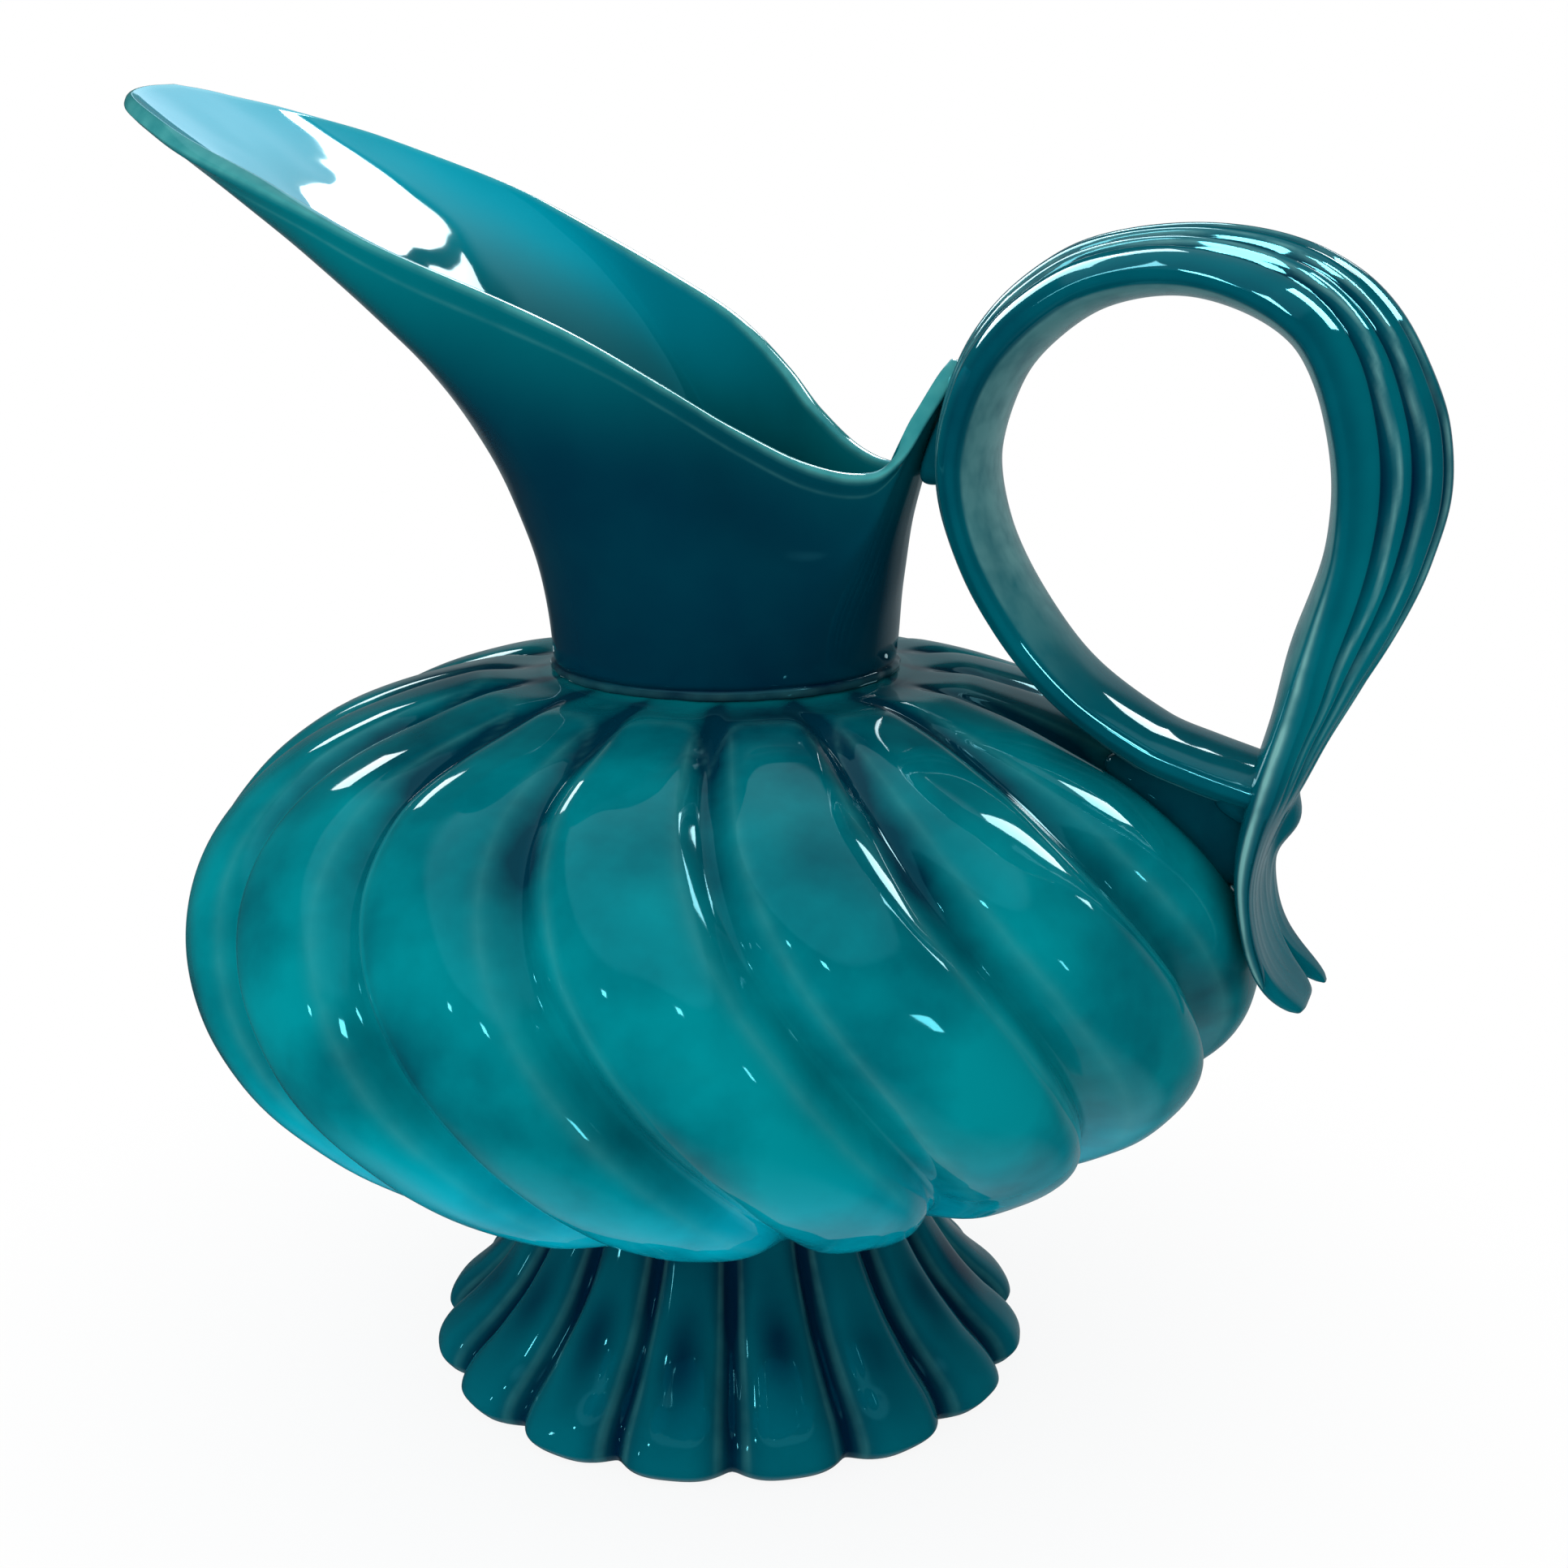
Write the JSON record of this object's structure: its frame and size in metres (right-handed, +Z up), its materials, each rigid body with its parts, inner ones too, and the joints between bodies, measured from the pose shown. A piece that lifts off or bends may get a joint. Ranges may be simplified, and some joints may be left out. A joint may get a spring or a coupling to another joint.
{
  "type": "pottery ewer",
  "caption": "Footed glazed pottery ewer with a fluted, flattened round belly, a long leaf-shaped open spout and a looped strap handle with a free tail.",
  "frame": {"origin": "centre of the foot's ring, on the surface it stands on", "axes": "+Z up along the axis of the foot and belly; the spout points along -X and the handle stands at +X"},
  "size_m": [0.2825, 0.2354, 0.2818],
  "materials": {
    "foot_glaze": "glossy dark teal glaze, darker in the flutes",
    "belly_glaze": "glossy cloudy turquoise glaze, pooled darker in the grooves",
    "neck_glaze": "glossy deep blue-teal glaze with pale rims",
    "handle_glaze": "glossy teal glaze with pale lines where it breaks over the ribs",
    "slip_glaze": "glossy dark teal glaze pooled at the joints"
  },
  "bodies": {
    "root": {"pedestal_foot": "foot_glaze", "foot_slip_ring": "slip_glaze", "belly_lower_half": "belly_glaze", "belly_seam_slip": "belly_glaze", "belly_upper_half": "belly_glaze", "neck_slip_ring": "slip_glaze", "neck_with_spout": "neck_glaze", "handle_strap": "handle_glaze", "handle_slip_neck": "slip_glaze", "handle_slip_crossing": "slip_glaze", "handle_slip_shoulder": "slip_glaze"}
  },
  "joints": []
}
